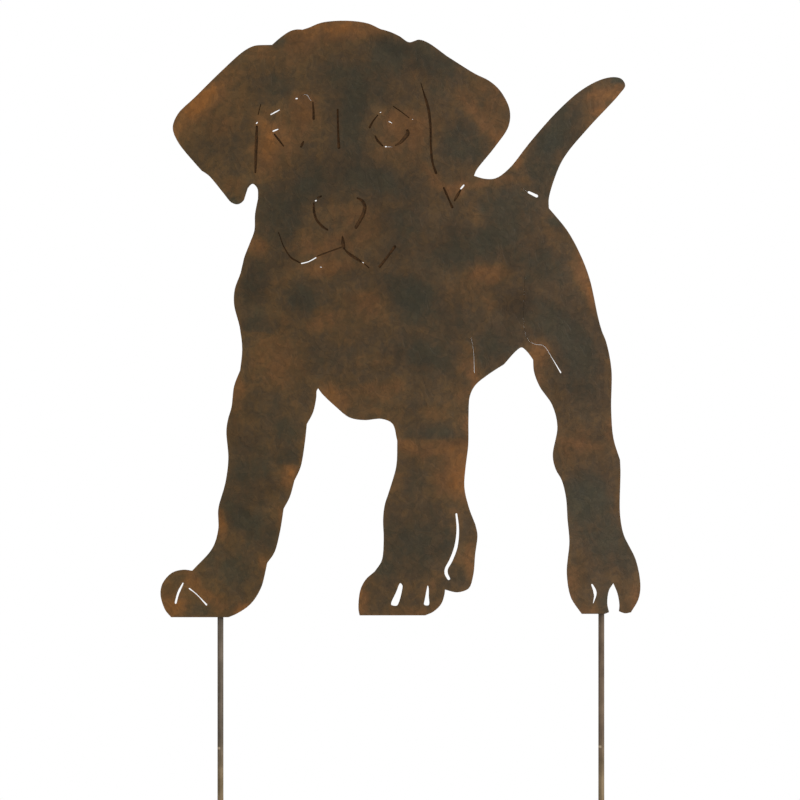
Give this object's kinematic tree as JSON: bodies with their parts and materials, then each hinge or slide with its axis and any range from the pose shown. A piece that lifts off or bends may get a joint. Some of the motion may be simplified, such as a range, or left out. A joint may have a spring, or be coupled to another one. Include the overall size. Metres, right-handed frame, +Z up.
{
  "type": "sheet metal puppy garden stake",
  "caption": "Flat rust-brown steel silhouette of a standing puppy with cut lines for face, ears and toes, on two round steel stakes that push into the ground.",
  "frame": {"origin": "on the ground line midway between the two stakes, level with the middle paw's sole, at the middle of the sheet's thickness", "axes": "+Z up, +X to the right of a viewer who faces the cut front, +Y away from that viewer, from the front face to the stakes"},
  "size_m": [0.3836, 0.0071, 0.6793],
  "materials": {
    "patina_steel": "matte, blotched patina of dark olive brown, mid brown and orange rust",
    "stake_steel": "dull weathered steel with a thin brown film of rust"
  },
  "bodies": {
    "root": {"dog_plate": "patina_steel", "left_stake": "stake_steel", "right_stake": "stake_steel"}
  },
  "joints": []
}
